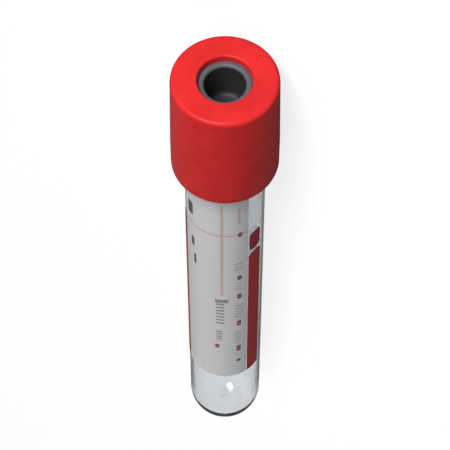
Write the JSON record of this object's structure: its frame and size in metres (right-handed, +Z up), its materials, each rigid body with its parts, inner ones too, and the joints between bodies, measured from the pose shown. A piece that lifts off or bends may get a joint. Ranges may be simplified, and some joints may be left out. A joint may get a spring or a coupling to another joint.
{
  "type": "blood collection tube",
  "caption": "Clear round-bottomed sample tube with a rubber stopper in a red safety cap and a printed film label, lying on its side.",
  "frame": {"origin": "under the middle of the lying tube, on the surface that it rests on", "axes": "+Z up; the tube lies along Y with its cap at -Y, and its axis rises 1.5 degrees towards the cap"},
  "size_m": [0.017, 0.1062, 0.0173],
  "materials": {
    "clear_plastic": "clear, glossy moulded plastic",
    "grey_rubber": "dark grey moulded rubber, satin",
    "red_plastic": "bright red moulded plastic, satin",
    "label_film": "clear film with a white printed field, red bars and thin red rules"
  },
  "bodies": {
    "tube_body": {"tube": "clear_plastic", "label": "label_film"},
    "closure": {"stopper": "grey_rubber", "cap": "red_plastic"}
  },
  "joints": [
    {"name": "closure_pull", "type": "slide", "parent": "tube_body", "child": "closure", "axis": [0, -0.9996, 0.0267], "range_m": [0, 0.03]}
  ]
}
